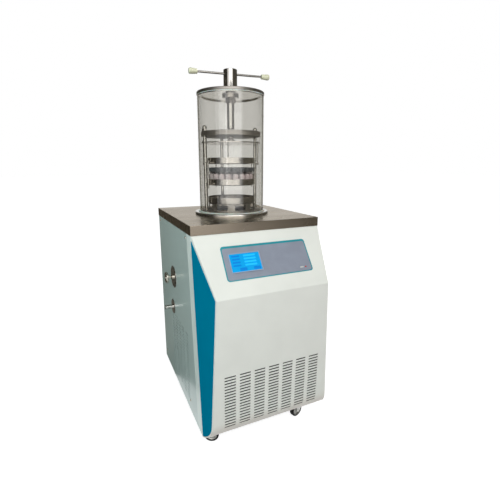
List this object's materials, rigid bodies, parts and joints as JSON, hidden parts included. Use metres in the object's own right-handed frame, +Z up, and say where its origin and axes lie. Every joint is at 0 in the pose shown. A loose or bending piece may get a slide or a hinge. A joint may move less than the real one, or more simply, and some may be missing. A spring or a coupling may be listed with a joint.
{
  "type": "freeze dryer",
  "caption": "Floor-standing laboratory freeze dryer with a clear lift-off chamber, a top-press tray rack, a side vent valve, a sloped touch panel and swivel castors.",
  "frame": {"origin": "on the floor under the middle of the whole footprint; the chamber axis stands 16 mm to the right of it and 46.5 mm behind it", "axes": "+X to the right across the front, +Y from front to back, +Z up"},
  "size_m": [0.482, 0.6129, 1.2275],
  "materials": {
    "white_enamel": "satin powder coat",
    "blue_enamel": "satin powder coat",
    "worktop_steel": "brushed stainless sheet",
    "polished_steel": "polished stainless steel",
    "brushed_steel": "turned stainless steel",
    "nickel_brass": "nickel plate",
    "zinc_steel": "zinc plate",
    "galvanised_pan": "galvanised sheet",
    "copper_fins": "dusty fins",
    "black_enamel": "gloss black",
    "clear_acrylic": "clear polished",
    "pale_silicone": "translucent",
    "overlay_film": "printed polyester film",
    "dark_plastic": "moulded",
    "screen_glass": "lit display",
    "white_lamp": "moulded lens",
    "red_lamp": "moulded lens",
    "ivory_plastic": "moulded",
    "black_plastic": "moulded",
    "tyre_rubber": "solid tread"
  },
  "bodies": {
    "cabinet": {"worktop": "worktop_steel", "side_panel_left": "white_enamel", "side_panel_right": "white_enamel", "rear_panel": "white_enamel", "front_fairing": "white_enamel", "cheek_left": "blue_enamel", "cheek_right": "blue_enamel", "base_pan": "galvanised_pan", "condenser": "copper_fins", "compressor": "black_enamel", "control_overlay": "overlay_film", "screen_bezel": "dark_plastic", "touch_screen": "screen_glass", "status_lamp": "white_lamp", "power_lamp": "red_lamp", "cold_trap": "polished_steel", "chamber_flange": "polished_steel", "ring_seal": "pale_silicone", "rack_base": "brushed_steel", "rack_columns": "polished_steel", "acorn_nuts": "polished_steel", "top_plate": "polished_steel", "screw_bush": "brushed_steel", "lower_tray": "polished_steel", "vent_escutcheon": "polished_steel", "vent_body": "nickel_brass", "port_escutcheon": "polished_steel", "vacuum_port": "polished_steel", "power_inlet": "black_plastic", "switch_frame": "black_plastic", "castor_plates": "zinc_steel"},
    "chamber": {"chamber_jar": "clear_acrylic", "lid_gasket": "pale_silicone", "lid": "brushed_steel", "gland": "brushed_steel", "gland_nut": "brushed_steel"},
    "press_handle": {"press_spindle": "polished_steel", "handle_head": "polished_steel", "tommy_bar": "polished_steel", "bar_knobs": "ivory_plastic"},
    "press_carriage": {"press_plate": "brushed_steel", "press_yoke": "brushed_steel", "hanger_rods": "polished_steel", "link_rods": "polished_steel", "rod_nuts": "brushed_steel", "upper_tray": "polished_steel", "middle_tray": "polished_steel"},
    "press_screw": {"press_screw": "brushed_steel"},
    "vent_handwheel": {"vent_stem": "nickel_brass", "vent_knob": "nickel_brass"},
    "power_rocker": {"power_rocker": "black_plastic"},
    "castor_front_left": {"castor_fork_front_left": "zinc_steel"},
    "wheel_front_left": {"castor_wheel_front_left": "tyre_rubber"},
    "castor_front_right": {"castor_fork_front_right": "zinc_steel"},
    "wheel_front_right": {"castor_wheel_front_right": "tyre_rubber"},
    "castor_rear_left": {"castor_fork_rear_left": "zinc_steel"},
    "wheel_rear_left": {"castor_wheel_rear_left": "tyre_rubber"},
    "castor_rear_right": {"castor_fork_rear_right": "zinc_steel"},
    "wheel_rear_right": {"castor_wheel_rear_right": "tyre_rubber"}
  },
  "joints": [
    {"name": "chamber_lift", "type": "slide", "parent": "cabinet", "child": "chamber", "axis": [0, 0, 1], "range_m": [0, 0.42]},
    {"name": "handle_turn", "type": "hinge", "parent": "chamber", "child": "press_handle", "pos_m": [0.016, 0.0465, 1.2], "axis": [0, 0, -1], "range_deg": [0, 3600]},
    {"name": "press_travel", "type": "slide", "parent": "cabinet", "child": "press_carriage", "axis": [0, 0, -1], "range_m": [0, 0.0401]},
    {"name": "screw_turn", "type": "hinge", "parent": "press_carriage", "child": "press_screw", "pos_m": [0.016, 0.0465, 1], "axis": [0, 0, -1], "range_deg": [0, 3601]},
    {"name": "vent_turn", "type": "hinge", "parent": "cabinet", "child": "vent_handwheel", "pos_m": [-0.224, 0.0685, 0.5025], "axis": [-1, 0, 0], "range_deg": [0, 720]},
    {"name": "power_rock", "type": "hinge", "parent": "cabinet", "child": "power_rocker", "pos_m": [-0.106, 0.3015, 0.15], "axis": [1, 0, 0], "range_deg": [-8, 8]},
    {"name": "swivel_front_left", "type": "hinge", "parent": "cabinet", "child": "castor_front_left", "pos_m": [-0.145, -0.2075, 0.06], "axis": [0, 0, 1], "continuous": true},
    {"name": "roll_front_left", "type": "hinge", "parent": "castor_front_left", "child": "wheel_front_left", "pos_m": [-0.16298, -0.19873, 0.025], "axis": [0.4384, 0.8988, 0], "continuous": true},
    {"name": "swivel_front_right", "type": "hinge", "parent": "cabinet", "child": "castor_front_right", "pos_m": [0.177, -0.2075, 0.06], "axis": [0, 0, 1], "continuous": true},
    {"name": "roll_front_right", "type": "hinge", "parent": "castor_front_right", "child": "wheel_front_right", "pos_m": [0.15777, -0.21301, 0.025], "axis": [-0.2756, 0.9613, 0], "continuous": true},
    {"name": "swivel_rear_left", "type": "hinge", "parent": "cabinet", "child": "castor_rear_left", "pos_m": [-0.145, 0.2515, 0.06], "axis": [0, 0, 1], "continuous": true},
    {"name": "roll_rear_left", "type": "hinge", "parent": "castor_rear_left", "child": "wheel_rear_left", "pos_m": [-0.16481, 0.25428, 0.025], "axis": [0.1392, 0.9903, 0], "continuous": true},
    {"name": "swivel_rear_right", "type": "hinge", "parent": "cabinet", "child": "castor_rear_right", "pos_m": [0.177, 0.2515, 0.06], "axis": [0, 0, 1], "continuous": true},
    {"name": "roll_rear_right", "type": "hinge", "parent": "castor_rear_right", "child": "wheel_rear_right", "pos_m": [0.15859, 0.24369, 0.025], "axis": [-0.3907, 0.9205, 0], "continuous": true}
  ],
  "couplings": [
    {"joint": "press_travel", "follows": "handle_turn", "m_per_rad": 0.00063662},
    {"joint": "screw_turn", "follows": "handle_turn", "ratio": 1}
  ]
}
